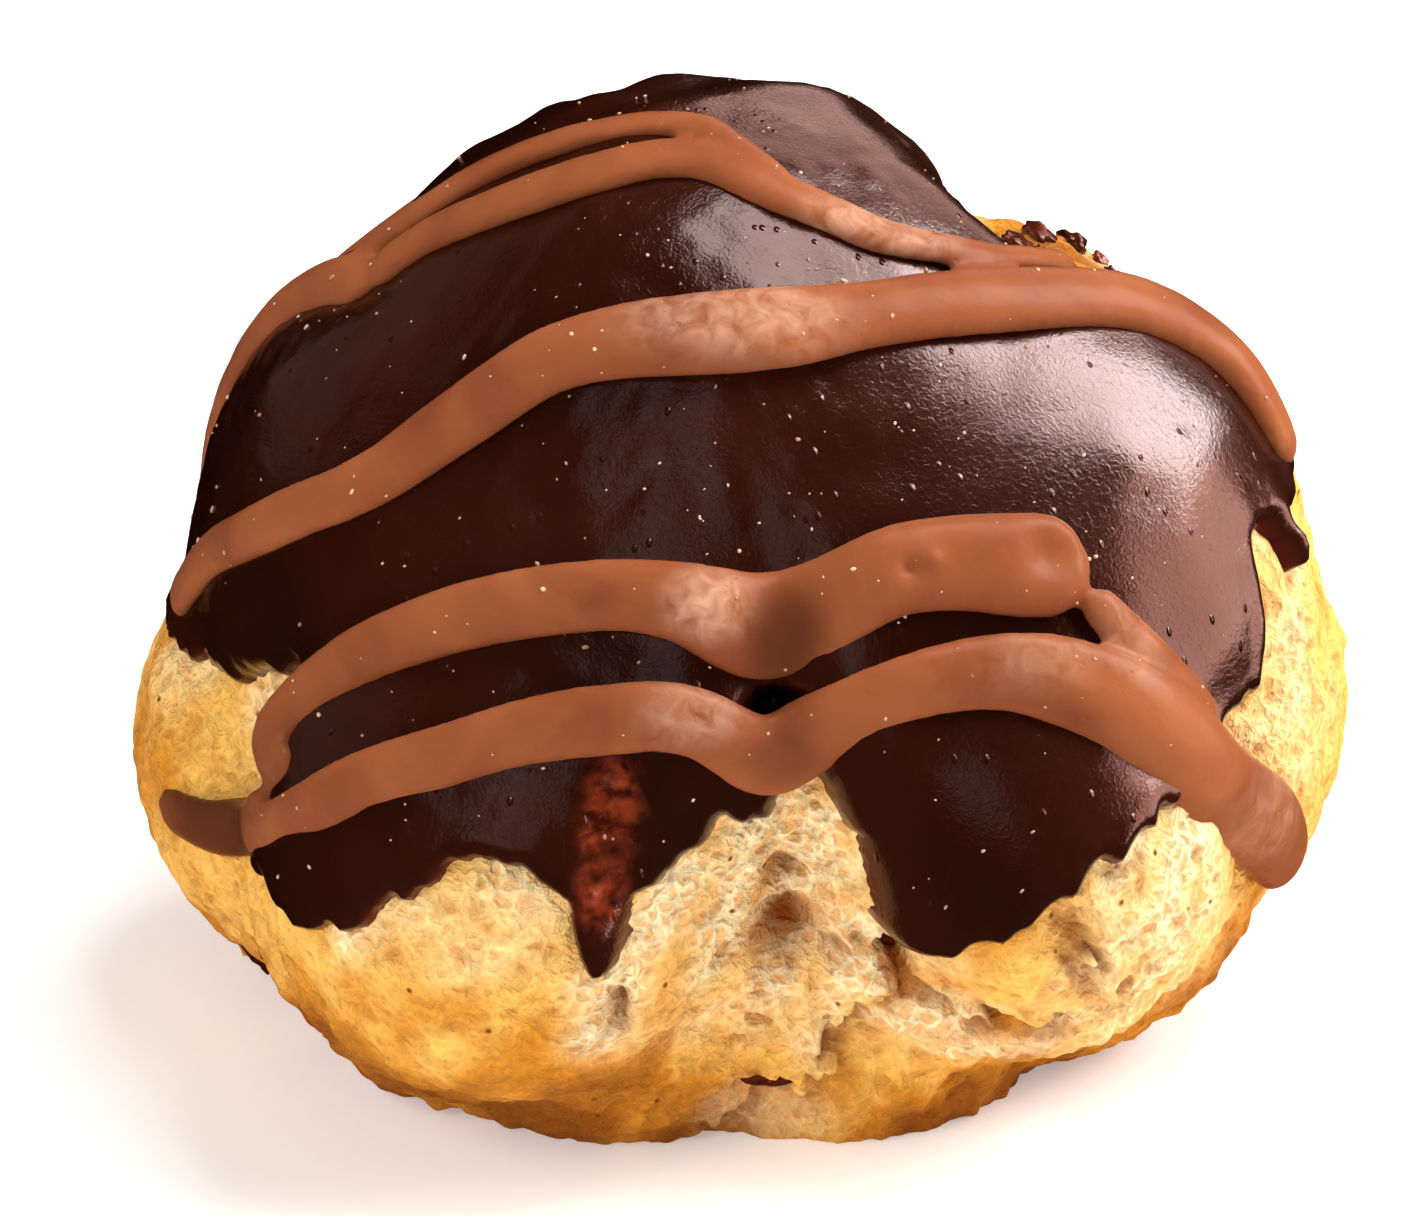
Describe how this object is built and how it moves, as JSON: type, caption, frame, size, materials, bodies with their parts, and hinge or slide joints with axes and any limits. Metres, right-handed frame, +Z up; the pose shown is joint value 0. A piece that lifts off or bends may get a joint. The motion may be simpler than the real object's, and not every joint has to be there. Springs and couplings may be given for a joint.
{
  "type": "profiterole",
  "caption": "Lobed choux pastry bun dipped in dark chocolate and drizzled with raised ropes of milk chocolate, standing on its flat foot.",
  "frame": {"origin": "on the surface the bun stands on, under the middle of the whole profiterole", "axes": "+Z up, the drizzled front faces -Y, +X to the right of someone who looks at the front"},
  "size_m": [0.0624, 0.0562, 0.0484],
  "materials": {
    "choux_crust": "baked golden choux crust, matt, porous and torn open in places",
    "chocolate": "set dark chocolate with a soft sheen, carrying ropes of paler milk chocolate",
    "milk_chocolate": "set milk chocolate, satin, piped as a drizzle",
    "crumbs": "dry pale crumbs of choux"
  },
  "bodies": {
    "root": {"choux_bun": "choux_crust", "chocolate_coat": "chocolate"}
  },
  "joints": []
}
